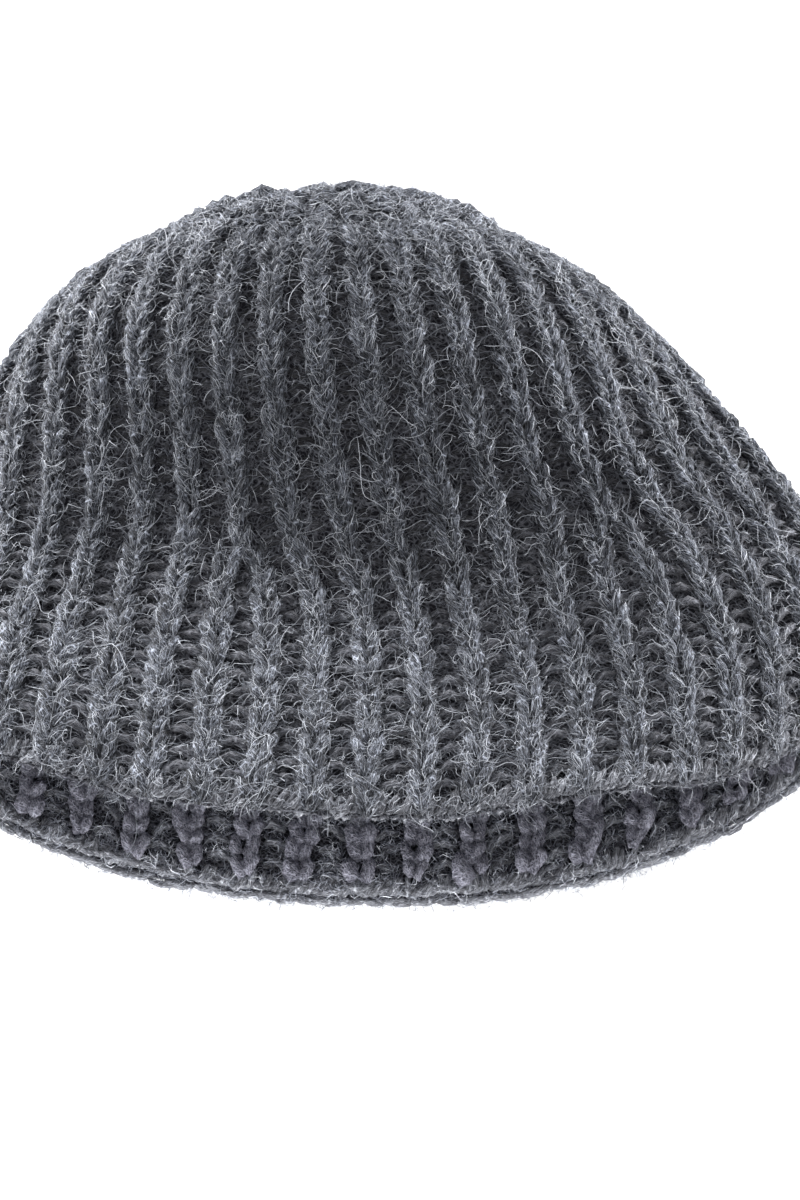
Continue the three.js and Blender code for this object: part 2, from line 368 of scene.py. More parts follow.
class StrandMould:
    """A strand made once with Blender's tools, whose rings are then laid along many paths."""

    def __init__(self, sides: int, levels: Sequence[float], pointed: bool) -> None:
        """Makes the strand and reads its rings and faces.

        Args:
            sides: Faces round the strand; 2 makes a flat strip.
            levels: Where its rings are, from 0 to 1, the two ends included.
            pointed: Whether both ends come to a point.
        """
        self.levels = np.asarray(levels, float)
        bpy.ops.object.select_all(action="DESELECT")
        if sides == 2:
            bpy.ops.mesh.primitive_plane_add(
                size=1.0, location=(0, 0, 0.5), rotation=(math.pi / 2, 0, 0)
            )
            bpy.context.object.scale = (2.0, 1.0, 1.0)
        else:
            bpy.ops.mesh.primitive_cylinder_add(
                vertices=sides, radius=1.0, depth=1.0, end_fill_type="TRIFAN",
                location=(0, 0, 0.5),
            )
        piece = bpy.context.object
        bpy.ops.object.transform_apply(location=True, rotation=True, scale=True)
        bpy.ops.object.mode_set(mode="EDIT")
        for level in self.levels[1:-1]:
            bpy.ops.mesh.select_all(action="SELECT")
            bpy.ops.mesh.bisect(plane_co=(0, 0, level), plane_no=(0, 0, 1))
        bpy.ops.object.mode_set(mode="OBJECT")
        if pointed:
            self.close_end(piece, 0.0)
            self.close_end(piece, 1.0)
        mesh = piece.data
        places = np.array([v.co[:] for v in mesh.vertices])
        self.ring = np.abs(places[:, 2:3] - self.levels[None]).argmin(axis=1)
        self.off = places[:, :2]
        self.faces = [list(face.vertices) for face in mesh.polygons]
        self.loops = np.array([i for face in self.faces for i in face])
        self.round_uv = self.loop_angles()
        bpy.data.objects.remove(piece, do_unlink=True)
        bpy.data.meshes.remove(mesh)

    @staticmethod
    def close_end(piece: bpy.types.Object, level: float) -> None:
        """Draws the end ring at a level together into one point."""
        bpy.ops.object.mode_set(mode="EDIT")
        bpy.ops.mesh.select_all(action="DESELECT")
        bpy.ops.object.mode_set(mode="OBJECT")
        for vertex in piece.data.vertices:
            vertex.select = abs(vertex.co.z - level) < TOUCH
        bpy.ops.object.mode_set(mode="EDIT")
        bpy.ops.mesh.merge(type="CENTER")
        bpy.ops.object.mode_set(mode="OBJECT")

    def loop_angles(self) -> np.ndarray:
        """Returns each face corner's share of the way round, without a jump inside a face."""
        angle = (np.arctan2(self.off[:, 1], self.off[:, 0]) / (2 * math.pi)) % 1.0
        result = []
        for face in self.faces:
            on_axis = np.linalg.norm(self.off[face], axis=1) < TOUCH
            values = angle[face].copy()
            known = values[~on_axis]
            if len(known) and np.ptp(known) > 0.5:
                values[values < 0.5] += 1.0
                known = values[~on_axis]
            if len(known):
                values[on_axis] = known.mean()
            result.extend(values)
        return np.array(result)

    def lay(self, paths: np.ndarray, radii: np.ndarray, out: np.ndarray) -> np.ndarray:
        """Lays a copy along each path.

        Args:
            paths: Points of each path at the mould's levels, (count, levels, 3).
            radii: The strand's radius at each of them, (count, levels).
            out: The way out of the cloth for each path, (count, 3).

        Returns:
            The vertices of every copy, (count, vertices, 3).
        """
        along = unit(np.gradient(paths, axis=1))
        side = unit(np.cross(out[:, None], along))
        top = np.cross(along, side)
        ring = self.ring
        x = self.off[None, :, 0, None] * radii[:, ring, None]
        y = self.off[None, :, 1, None] * radii[:, ring, None]
        return paths[:, ring] + side[:, ring] * x + top[:, ring] * y


def through(points: np.ndarray, levels: np.ndarray) -> np.ndarray:
    """Reads smooth curves through control points.

    Args:
        points: Control points, evenly spread along each curve, (count, controls, width).
        levels: Where to read each curve, 0 to 1.

    Returns:
        The curves' points, (count, levels, width).
    """
    last = points.shape[1] - 1
    place = levels * last
    i = np.minimum(place.astype(int), last - 1)
    slope = np.gradient(points, axis=1)
    first, leaving, second, arriving = curve_weights((place - i)[None, :, None])
    return (
        first * points[:, i] + leaving * slope[:, i]
        + second * points[:, i + 1] + arriving * slope[:, i + 1]
    )


class Zone(NamedTuple):
    """A stretch of the cap, in front of a place and between two heights, in millimetres."""

    far: float
    low: float
    high: float


BRIM = Zone(60, 20, 90)
HIGH_RIM = Zone(60, 15, 90)
LOW_RIM = Zone(60, -9, 15)
MOUTH = Zone(54, 0, 16)


@dataclass
class Strands:
    """Many copies of one mould along their paths, ready to be one mesh.

    The shade of a strand runs from 0, dark, to 1, light, and painted shade darkens its ends.
    """

    mould: StrandMould
    paths: np.ndarray
    radii: np.ndarray
    out: np.ndarray
    shade: np.ndarray
    painted_end_shade: float

    def those(self, chosen: np.ndarray) -> "Strands":
        """Returns the chosen strands."""
        return replace(self, paths=self.paths[chosen], radii=self.radii[chosen],
                       out=self.out[chosen], shade=self.shade[chosen])

    def within(self, zone: Zone) -> "Strands":
        """Returns the strands that start in a zone."""
        start = self.paths[:, 0]
        return self.those(
            (start[:, 1] < zone.far) & (start[:, 2] >= zone.low) & (start[:, 2] < zone.high)
        )

    def kept_near(self) -> "Strands":
        """Returns the strands that don't stand out too far in front or on top."""
        front = self.paths[:, :, 1].min(axis=1)
        top = self.paths[:, :, 2].max(axis=1)
        return self.those((front > FRONT_LIMIT) & (top < TOP_LIMIT))

    def at_controls(self) -> np.ndarray:
        """Returns the paths at even steps, as many as their levels."""
        return self.evenly(self.paths, len(self.mould.levels))

    def radii_at(self, steps: np.ndarray) -> np.ndarray:
        """Returns the radii at steps from 0 to 1."""
        return self.evenly(self.radii[..., None], len(steps))[..., 0]

    def evenly(self, values: np.ndarray, count: int) -> np.ndarray:
        """Returns values given at the mould's levels at even steps instead."""
        levels = self.mould.levels
        steps = np.linspace(0.0, 1.0, count)
        low = np.clip(np.searchsorted(levels, steps, side="right") - 1, 0, len(levels) - 2)
        part = ((steps - levels[low]) / (levels[low + 1] - levels[low]))[None, :, None]
        return values[:, low] * (1 - part) + values[:, low + 1] * part

    def joined(self, name: str, finish: bpy.types.Material) -> bpy.types.Object:
        """Makes one object of all the copies, with its yarn map, bake map and shades.

        Args:
            name: The piece's name.
            finish: Its material.
        """
        vertices = self.mould.lay(self.paths, self.radii, self.out)
        count, size = vertices.shape[:2]
        corners = (np.arange(count)[:, None] * size + self.mould.loops[None]).ravel()
        sizes = np.tile([len(face) for face in self.mould.faces], count)
        piece = mesh_piece(name, vertices.reshape(-1, 3), corners, sizes, finish)
        self.map_yarn(piece.data, count)
        # painted shade: darker towards both ends of every strand, where it tucks under other yarn
        ends = np.abs(2 * self.mould.levels[self.mould.ring] - 1) ** 3
        shade = np.clip(self.shade[:, None] - self.painted_end_shade * ends[None], 0.0, 1.0)
        shades = piece.data.attributes.new("shade", "FLOAT", "POINT")
        shades.data.foreach_set("value", shade.astype(np.float32).ravel())
        return piece

    def map_yarn(self, mesh: bpy.types.Mesh, count: int) -> None:
        """Lays the yarn map, round by along, and a bake map with a cell for each copy."""
        mould = self.mould
        round_uv = mould.round_uv[None]
        level = mould.levels[mould.ring][mould.loops][None]
        length = np.linalg.norm(np.diff(self.paths, axis=1), axis=2).sum(axis=1)
        yarn = np.empty((count, level.shape[1], 2), np.float32)
        yarn[:, :, 0] = round_uv
        first = np.arange(count)[:, None] * MAP_STEP % MAP_LENGTH
        yarn[:, :, 1] = level * length[:, None] + first
        bake = np.empty_like(yarn)
        cells = math.ceil(math.sqrt(count))
        row, column = np.divmod(np.arange(count)[:, None], cells)
        room = 1 - 2 * BAKE_MARGIN
        bake[:, :, 0] = (column + BAKE_MARGIN + room * round_uv / MAP_TURNS) / cells
        bake[:, :, 1] = (row + BAKE_MARGIN + room * level) / cells
        for name, values in (("Yarn", yarn), ("OFBake", bake)):
            mesh.uv_layers.new(name=name).data.foreach_set("uv", values.ravel())
        mesh.uv_layers["Yarn"].active = True
        mesh.uv_layers["Yarn"].active_render = True


def mesh_piece(name: str, vertices: np.ndarray, corners: np.ndarray, sizes: np.ndarray,
               finish: bpy.types.Material) -> bpy.types.Object:
    """Makes an object from arrays, moved from the maker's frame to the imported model's.

    Args:
        name: The piece's name.
        vertices: Places in millimetres, (count, 3).
        corners: The vertex of every face corner, face after face.
        sizes: How many corners each face has.
        finish: Its material.
    """
    places = vertices - np.array(ORIGIN)
    places[:, 2] = np.maximum(places[:, 2], FLOOR_GAP)
    mesh = bpy.data.meshes.new(name)
    mesh.vertices.add(len(places))
    mesh.vertices.foreach_set("co", (places * MM).astype(np.float32).ravel())
    mesh.loops.add(len(corners))
    mesh.loops.foreach_set("vertex_index", corners.astype(np.int32))
    mesh.polygons.add(len(sizes))
    starts = np.concatenate([[0], np.cumsum(sizes)[:-1]])
    mesh.polygons.foreach_set("loop_start", starts.astype(np.int32))
    mesh.update(calc_edges=True)
    mesh.shade_smooth()
    mesh.materials.append(finish)
    piece = bpy.data.objects.new(name, mesh)
    bpy.context.scene.collection.objects.link(piece)
    return piece


Colour = tuple[float, float, float]


class Number:
    """A shader number, which adds maths nodes as it is reckoned with."""

    def __init__(self, graph: "Graph", socket: bpy.types.NodeSocket) -> None:
        """Wraps one output socket of a graph."""
        self.graph = graph
        self.socket = socket

    def maths(self, operation: str, first: "Number | float",
              second: "Number | float" = 0.0) -> "Number":
        """Returns what one maths node makes of one or two numbers."""
        made = self.graph.node("ShaderNodeMath", {"operation": operation}, {0: first, 1: second})
        return Number(self.graph, made.outputs[0])

    def __add__(self, other: "Number | float") -> "Number":
        """Returns the sum."""
        return self.maths("ADD", self, other)

    def __sub__(self, other: "Number | float") -> "Number":
        """Returns the difference."""
        return self.maths("SUBTRACT", self, other)

    def __rsub__(self, other: float) -> "Number":
        """Returns a plain number less this one."""
        return self.maths("SUBTRACT", other, self)

    def __mul__(self, other: "Number | float") -> "Number":
        """Returns the product."""
        return self.maths("MULTIPLY", self, other)

    def __truediv__(self, other: "Number | float") -> "Number":
        """Returns the quotient."""
        return self.maths("DIVIDE", self, other)

    def sine(self) -> "Number":
        """Returns the sine."""
        return self.maths("SINE", self)

    def size(self) -> "Number":
        """Returns the number without its sign."""
        return self.maths("ABSOLUTE", self)

    def at_least(self, least: "Number | float") -> "Number":
        """Returns the greater of this and another number."""
        return self.maths("MAXIMUM", self, least)


class Graph:
    """The nodes of one material."""

    def __init__(self, name: str) -> None:
        """Starts an empty material of that name."""
        self.material = bpy.data.materials.new(name)
        self.material.use_nodes = True
        self.tree = self.material.node_tree
        self.tree.nodes.clear()

    def node(self, kind: str, settings: dict[str, object] | None = None,
             inputs: dict[int | str, object] | None = None) -> bpy.types.Node:
        """Adds a node.

        Args:
            kind: The node's type.
            settings: Its properties, set before its inputs.
            inputs: What each input gets: a number, a socket or a plain value.

        Returns:
            The node.
        """
        made = self.tree.nodes.new(kind)
        for key, value in (settings or {}).items():
            setattr(made, key, value)
        for key, value in (inputs or {}).items():
            source = value.socket if isinstance(value, Number) else value
            if isinstance(source, bpy.types.NodeSocket):
                self.tree.links.new(source, made.inputs[key])
            else:
                made.inputs[key].default_value = source
        return made

    def yarn_map(self) -> tuple[Number, Number]:
        """Returns the turns round the yarn and the millimetres along it."""
        layer = self.node("ShaderNodeUVMap", {"uv_map": "Yarn"})
        split = self.node("ShaderNodeSeparateXYZ", None, {0: layer.outputs["UV"]})
        return Number(self, split.outputs[0]), Number(self, split.outputs[1])

    def shade(self) -> Number:
        """Returns the shade stored with each strand, 0 to 1, painted shade and light included."""
        made = self.node("ShaderNodeAttribute", {"attribute_name": "shade"})
        return Number(self, made.outputs["Fac"])

    def vector(self, *parts: Number | float) -> bpy.types.NodeSocket:
        """Returns a vector of three numbers."""
        return self.node("ShaderNodeCombineXYZ", None, dict(enumerate(parts))).outputs[0]

    def noise(self, place: bpy.types.NodeSocket, scale: float, detail: float = 3.0) -> Number:
        """Returns a cloudy value, about 0.5 on average."""
        made = self.node("ShaderNodeTexNoise", None, {
            "Vector": place, "Scale": scale, "Detail": detail, "Roughness": 0.6,
        })
        return Number(self, made.outputs[0])

    def fibres(self, place: bpy.types.NodeSocket, scale: float, fineness: float) -> Number:
        """Returns thin winding lines, 1 on a line and 0 off it.

        Args:
            place: The vector that the lines are laid in.
            scale: How close the lines are.
            fineness: How thin they are.
        """
        off = (self.noise(place, scale, 0.0) - 0.5).size() * fineness
        return (1.0 - off).at_least(0.0)

    def object_place(self) -> bpy.types.NodeSocket:
        """Returns the place in the piece's own metres."""
        return self.node("ShaderNodeTexCoord").outputs["Object"]

    def ramp(self, value: Number, stops: Sequence[tuple[float, Colour]]) -> bpy.types.NodeSocket:
        """Returns a colour read from stops of place and colour."""
        made = self.node("ShaderNodeValToRGB", None, {0: value})
        band = made.color_ramp
        while len(band.elements) < len(stops):
            band.elements.new(0.5)
        for element, (place, colour) in zip(band.elements, stops):
            element.position = place
            element.color = (*colour, 1.0)
        return made.outputs["Color"]

    def bump(self, height: Number, strength: float, depth: float) -> bpy.types.NodeSocket:
        """Returns a normal for a height, depth being in millimetres."""
        made = self.node("ShaderNodeBump", None, {
            "Strength": strength, "Distance": depth * MM, "Height": height,
        })
        return made.outputs["Normal"]

    def surface(self, **inputs: object) -> bpy.types.Material:
        """Ends the material with a matt shader, its inputs named with underscores."""
        named = {key.replace("_", " "): value for key, value in inputs.items()}
        shader = self.node("ShaderNodeBsdfPrincipled", None, named)
        self.node("ShaderNodeOutputMaterial", None, {"Surface": shader.outputs[0]})
        return self.material


@dataclass(frozen=True)
class FuzzyYarn:
    """Yarn of light and dark fibres carded together, which wind along its run.

    Each layer of fibres has its wind along the yarn and its strength. The parts say how much
    the fibres, the clouds of colour, the fine grain and the strand's stored shade count; that
    shade holds painted shade and light as well as the strand's own tone.
    """

    name: str = "Fuzzy yarn"
    dark: Colour = (0.005, 0.0055, 0.0085)
    middle: Colour = (0.046, 0.050, 0.063)
    light: Colour = (0.50, 0.54, 0.64)
    stops: tuple[float, float, float] = (0.05, 0.42, 0.95)
    girth: float = 8.0
    wind: float = 0.35
    stretch: float = 0.22
    layers: tuple[tuple[float, float], ...] = ((1.0, 1.0), (-1.0, 0.75), (0.2, 0.6), (2.2, 0.6))
    layer_step: float = 7.3
    closeness: float = 1.5
    closer: float = 0.25
    fineness: float = 11.0
    patches: float = 90.0
    fibre_part: float = 0.75
    patch_part: float = 0.6
    grain_part: float = 0.5
    shade_part: float = 0.5
    bump: float = 0.8
    bump_depth: float = 0.35

    def material(self) -> bpy.types.Material:
        """Builds the material."""
        graph = Graph(self.name)
        turn, length = graph.yarn_map()
        lines = None
        for index, (way, strength) in enumerate(self.layers):
            place = graph.vector(
                turn * self.girth + length * (self.wind * way),
                length * self.stretch, index * self.layer_step,
            )
            closeness = self.closeness + self.closer * index
            found = graph.fibres(place, closeness, self.fineness) * strength
            lines = found if lines is None else lines.at_least(found)
        patch = graph.noise(graph.object_place(), self.patches)
        grain = graph.noise(graph.vector(turn * 20.0, length * 1.2, 0.0), 1.0)
        value = (
            lines * self.fibre_part + (patch - 0.5) * self.patch_part
            + (grain - 0.5) * self.grain_part + (graph.shade() - 0.5) * self.shade_part
        )
        colour = graph.ramp(value, tuple(zip(self.stops, (self.dark, self.middle, self.light))))
        return graph.surface(
            Base_Color=colour, Roughness=0.95, Specular_IOR_Level=0.2, Sheen_Weight=0.12,
            Sheen_Roughness=0.5, Normal=graph.bump(lines + grain * 0.5, self.bump, self.bump_depth),
        )


@dataclass(frozen=True)
class SmoothYarn:
    """Plain blue-grey yarn whose plies turn round each other, with a little lint."""

    name: str = "Smooth yarn"
    dark: Colour = (0.09, 0.09, 0.115)
    light: Colour = (0.56, 0.56, 0.67)
    stops: tuple[float, float] = (0.12, 0.68)
    plies: float = 2.0
    ply_length: float = 5.0
    girth: float = 8.0
    lint: float = 2.6
    patches: float = 1100.0
    ply_part: float = 0.08
    lint_part: float = 0.6
    fibre_part: float = 0.25
    patch_part: float = 0.9
    shade_part: float = 0.5
    bump: float = 1.0
    bump_depth: float = 1.1

    def material(self) -> bpy.types.Material:
        """Builds the material."""
        graph = Graph(self.name)
        turn, length = graph.yarn_map()
        ply = ((turn * self.plies + length / self.ply_length) * (2 * math.pi)).sine() * 0.5 + 0.5
        lint = graph.noise(graph.vector(turn * self.girth, length, 0.0), self.lint, 5.0)
        lines = graph.fibres(graph.vector(turn * self.girth + length * 0.5, length * 0.4, 3.0),
                             1.6, 8.0)
        patch = graph.noise(graph.object_place(), self.patches)
        value = (
            ply * self.ply_part + lint * self.lint_part + lines * self.fibre_part
            + (patch - 0.5) * self.patch_part + (graph.shade() - 0.5) * self.shade_part
        )
        colour = graph.ramp(value, tuple(zip(self.stops, (self.dark, self.light))))
        height = ply * 0.2 + lint * 1.5 + lines * 0.4 + patch
        return graph.surface(
            Base_Color=colour, Roughness=0.9, Specular_IOR_Level=0.2,
            Normal=graph.bump(height, self.bump, self.bump_depth),
        )


@dataclass(frozen=True)
class BackingYarn:
    """The shaded, matted yarn at the bottom of the knitting, in two layers of fibres."""

    name: str = "Backing yarn"
    dark: Colour = (0.010, 0.010, 0.014)
    light: Colour = (0.16, 0.165, 0.19)
    stops: tuple[float, float] = (0.10, 0.95)
    closeness: float = 700.0
    second_ratio: float = 1.37
    second_strength: float = 0.7
    fineness: float = 8.0
    patch_ratio: float = 1 / 6
    brightness: float = 1.6
    bump: float = 0.8
    bump_depth: float = 0.4

    def material(self) -> bpy.types.Material:
        """Builds the material."""
        graph = Graph(self.name)
        place = graph.object_place()
        first = graph.fibres(place, self.closeness, self.fineness)
        second = graph.fibres(place, self.closeness * self.second_ratio, self.fineness)
        lines = first.at_least(second * self.second_strength)
        patch = graph.noise(place, self.closeness * self.patch_ratio)
        value = lines * patch * self.brightness
        colour = graph.ramp(value, tuple(zip(self.stops, (self.dark, self.light))))
        return graph.surface(
            Base_Color=colour, Roughness=0.95, Specular_IOR_Level=0.2,
            Normal=graph.bump(lines, self.bump, self.bump_depth),
        )


@dataclass(frozen=True)
class Hair:
    """Single hairs, each in its stored shade from black to light grey, painted shade and light
    included.
    """

    name: str = "Hair"
    dark: Colour = (0.009, 0.0095, 0.013)
    middle: Colour = (0.130, 0.142, 0.172)
    light: Colour = (0.60, 0.63, 0.69)

    def material(self) -> bpy.types.Material:
        """Builds the material."""
        graph = Graph(self.name)
        colour = graph.ramp(graph.shade(), (
            (0.0, self.dark), (0.5, self.middle), (1.0, self.light),
        ))
        return graph.surface(Base_Color=colour, Roughness=0.6, Specular_IOR_Level=0.35)


@dataclass(frozen=True)
class PaleFloor:
    """A plain, matt, nearly white floor."""

    name: str = "Pale floor"
    colour: Colour = (0.88, 0.88, 0.88)
    glow: float = 0.7

    def material(self) -> bpy.types.Material:
        """Builds the material."""
        return Graph(self.name).surface(
            Base_Color=(*self.colour, 1.0), Roughness=0.9,
            Emission_Color=(1.0, 1.0, 1.0, 1.0), Emission_Strength=self.glow,
        )


@dataclass(frozen=True)
class StitchShape:
    """One strand of a stitch at even steps along it.

    The ways across and up are shares of the stitch's width and row. The way out is in
    millimetres, and the thickness is a share of the yarn's.
    """

    across: tuple[float, ...]
    up: tuple[float, ...]
    out: tuple[float, ...]
    thick: tuple[float, ...]


INNER_LEG = StitchShape(
    across=(0.02, 0.16, 0.27, 0.33, 0.30),
    up=(-0.90, -0.72, -0.30, 0.14, 0.47),
    out=(0.30, 0.55, 0.75, 0.35, -0.2),
    thick=(0.95, 1.10, 1.12, 0.95, 0.55),
)
KNIT_LEG = StitchShape(
    across=(0.02, 0.10, 0.24, 0.34, 0.36),
    up=(-0.75, -0.35, 0.15, 0.65, 1.05),
    out=(-0.8, 0.55, 0.80, 0.30, -1.0),
    thick=(0.55, 0.95, 1.10, 0.95, 0.50),
)
PURL_LOOP = StitchShape(
    across=(-0.52, -0.34, 0.0, 0.34, 0.52),
    up=(-0.16, 0.06, 0.16, 0.06, -0.16),
    out=(-0.9, 0.35, 0.70, 0.35, -0.9),
    thick=(0.70, 1.0, 1.05, 1.0, 0.70),
)
EDGE_WRAP = StitchShape(
    across=(-0.40, -0.22, 0.0, 0.22, 0.40),
    up=(0.85, 0.10, -0.42, 0.10, 0.85),
    out=(1.4, 1.7, 0.0, -1.7, -1.4),
    thick=(0.8, 1.05, 1.1, 1.05, 0.8),
)
EDGE_LOOP = StitchShape(
    across=(-0.55, -0.30, 0.0, 0.30, 0.55),
    up=(0.10, -0.06, -0.10, -0.06, 0.10),
    out=(-0.2, 0.2, 0.3, 0.2, -0.2),
    thick=(0.70, 1.0, 1.05, 1.0, 0.70),
)


@dataclass
class Stitches:
    """Where stitches lie on the cloth and how big they are, in millimetres."""

    line: np.ndarray
    share: np.ndarray
    width: np.ndarray
    row: np.ndarray

    def those(self, chosen: np.ndarray) -> "Stitches":
        """Returns the chosen stitches."""
        return Stitches(self.line[chosen], self.share[chosen], self.width[chosen],
                        self.row[chosen])


@dataclass
class Yarn:
    """How a strand of a stitch is laid: its yarn, its face and how uneven it is.

    The base lifts it off the cloth's middle, and the crown drop takes that away again where
    the crown is gathered. The radius is in millimetres, or a share of the stitch's width.
    """

    mould: StrandMould
    shape: StitchShape
    face: Face
    base: float
    radius: float
    mirrored: bool = False
    radius_by_width: bool = False
    wander: float = 0.35
    tilt: float = 6.0
    swell: float = 0.07
    lumps: float = 0.05
    crown_drop: float = 0.6
    crown_start: float = 0.70
    crown_end: float = 0.84
    shade_spread: float = 0.08
    # painted shade at both ends of the strand, where it tucks under the next stitch
    painted_end_shade: float = 0.45

    def lay(self, cloth: Cloth, stitches: Stitches, rng: np.random.Generator) -> Strands:
        """Lays the strands of the stitches.

        Args:
            cloth: The cloth that carries them.
            stitches: Where they lie.
            rng: The source of their unevenness.

        Returns:
            The strands, ready to be joined or to grow hairs.
        """
        paths, outs, radii = [], [], []
        count = len(stitches.line)
        gathered = smooth(stitches.share, self.crown_start, self.crown_end)[:, None]
        for sign in ((1.0, -1.0) if self.mirrored else (1.0,)):
            x = np.array(self.shape.across)[None] * stitches.width[:, None] * sign
            y = np.array(self.shape.up)[None] * stitches.row[:, None]
            turn = np.radians(rng.normal(0, self.tilt, (count, 1)))
            grow = 1 + rng.normal(0, self.swell, (count, 1))
            shift = rng.normal(0, self.wander, (count, 3, 1))
            local = np.stack([
                (x * np.cos(turn) - y * np.sin(turn)) * grow + shift[:, 0],
                (y * np.cos(turn) + x * np.sin(turn)) * grow + shift[:, 1] * 0.7,
                np.array(self.shape.out)[None] + self.base + shift[:, 2] * 0.6
                - self.crown_drop * gathered,
            ], axis=2)
            levels = self.mould.levels
            curve = through(local, levels)
            points, out = cloth.laid(stitches.line, stitches.share, curve, self.face)
            thick = np.interp(levels, np.linspace(0, 1, len(self.shape.thick)), self.shape.thick)
            size = self.radius * (stitches.width[:, None] if self.radius_by_width else 1.0)
            uneven = grow + rng.normal(0, self.lumps, points.shape[:2])
            paths.append(points)
            outs.append(out)
            radii.append(size * thick[None] * uneven)
        every = np.concatenate(paths)
        shade = np.clip(rng.normal(0.5, self.shade_spread, len(every)), 0, 1)
        return Strands(self.mould, every, np.concatenate(radii), np.concatenate(outs), shade,
                       self.painted_end_shade)


@dataclass
class Layout:
    """The plan of the knitting: which lines run where, row by row.

    Shares are ways from rim to crown. Widths are in millimetres, and a part is how much of
    the room between two lines a stitch takes. The flare widens the ribs near the left brim.
    """

    cloth: Cloth
    rows: int = 52
    pairs_merged: float = 0.285
    thinned: float = 0.88
    drawn_in: float = 0.965
    gather_start: float = 0.72
    gather_end: float = 0.82
    gathered_part: float = 0.95
    gathered_widest: float = 9.0
    wale_widest: float = 6.8
    wale_part: float = 0.77
    valley_widest: float = 6.6
    valley_part: float = 0.62
    flare: float = 0.22
    flare_line: float = 3.0
    flare_near: float = 4.0
    flare_far: float = 10.0
    flare_start: float = 0.08
    flare_end: float = 0.26
    over_fold: float = 0.02

    def lines_at(self, share: float) -> np.ndarray:
        """Returns the lines of the knit wales at a share of the way to the crown."""
        cloth = self.cloth
        if share < self.pairs_merged:
            return np.arange(cloth.ribs) + 0.5
        off = np.array([0.0, 1.5, 2.5, 3.5, -3.5, -2.5, -1.5])
        groups = np.arange(cloth.ribs // cloth.decrease_every) * cloth.decrease_every
        lines = (groups[:, None] + off[None]).ravel()
        return lines if share < self.thinned else lines[::2]

    def valley_lines_at(self, share: float) -> np.ndarray:
        """Returns the lines of the valleys between the wales at a share of the way."""
        lines = np.arange(self.cloth.ribs, dtype=float)
        merged = lines % self.cloth.decrease_every == 0
        return lines[~merged] if share > self.pairs_merged else lines

    def sized(self, line: np.ndarray, share: np.ndarray, widest: float,
              part: float) -> Stitches:
        """Sizes stitches by the room that each line has.

        Args:
            line: The line of each stitch, in ribs from the left fold.
            share: Its share of the way from rim to crown.
            widest: The widest that a stitch of the ribs gets.
            part: How much of its line's room it takes.
        """
        cloth = self.cloth
        every = cloth.decrease_every
        joined = (np.abs(line - every * np.round(line / every)) < 0.1) & (share > 0.1)
        reach = np.where(joined & (share >= self.pairs_merged), 1.0, 0.5)
        ends = [cloth.round_place(line + way * reach, share) for way in (-1, 1)]
        spot = cloth.at(cloth.round_place(line, share), share)
        pitch = np.abs(ends[0] - ends[1]) * spot.round_scale
        pitch = pitch * np.where(share > self.thinned, 2.0, 1.0)
        gathered = smooth(share, self.gather_start, self.gather_end)
        beside = smooth(np.abs(line - self.flare_line), self.flare_near, self.flare_far)
        flared = (1 - smooth(share, self.flare_start, self.flare_end)) * (1 - beside)
        wider = 1 + self.flare * flared
        ribbed = np.minimum(widest * wider, part * wider * pitch)
        crowded = np.minimum(self.gathered_part * pitch, self.gathered_widest)
        width = ribbed * (1 - gathered) + crowded * gathered
        return Stitches(line, share, width, spot.rise_scale / self.rows)

    def stacked(self, rows: range, lines_at: Callable[[float], np.ndarray], widest: float,
                part: float) -> Stitches:
        """Stacks rows of stitches, up to where the crown is drawn in.

        Args:
            rows: The rows, counted from the rim.
            lines_at: What gives the lines of a row for its share of the way to the crown.
            widest: The widest that a stitch of the ribs gets.
            part: How much of its line's room it takes.
        """
        lines, shares = [], []
        for row in rows:
            share = (row + 0.5) / self.rows
            if share < self.drawn_in:
                lines.append(lines_at(share))
                shares.append(np.full(len(lines[-1]), share))
        return self.sized(np.concatenate(lines), np.concatenate(shares), widest, part)

    def wales(self, rows: range) -> Stitches:
        """Returns the stitches of the outer face's ribs."""
        return self.stacked(rows, self.lines_at, self.wale_widest, self.wale_part)

    def valleys(self, rows: range) -> Stitches:
        """Returns the stitches of the valleys between the outer face's ribs."""
        return self.stacked(rows, self.valley_lines_at, self.valley_widest, self.valley_part)

    def is_upper(self, stitches: Stitches) -> np.ndarray:
        """Tells which stitches are on the upper layer of the lying cap or just over its fold."""
        place = self.cloth.round_place(stitches.line, stitches.share) + self.over_fold
        front_share = self.cloth.front_ribs / self.cloth.ribs
        return (place - np.floor(place)) < front_share + 2 * self.over_fold


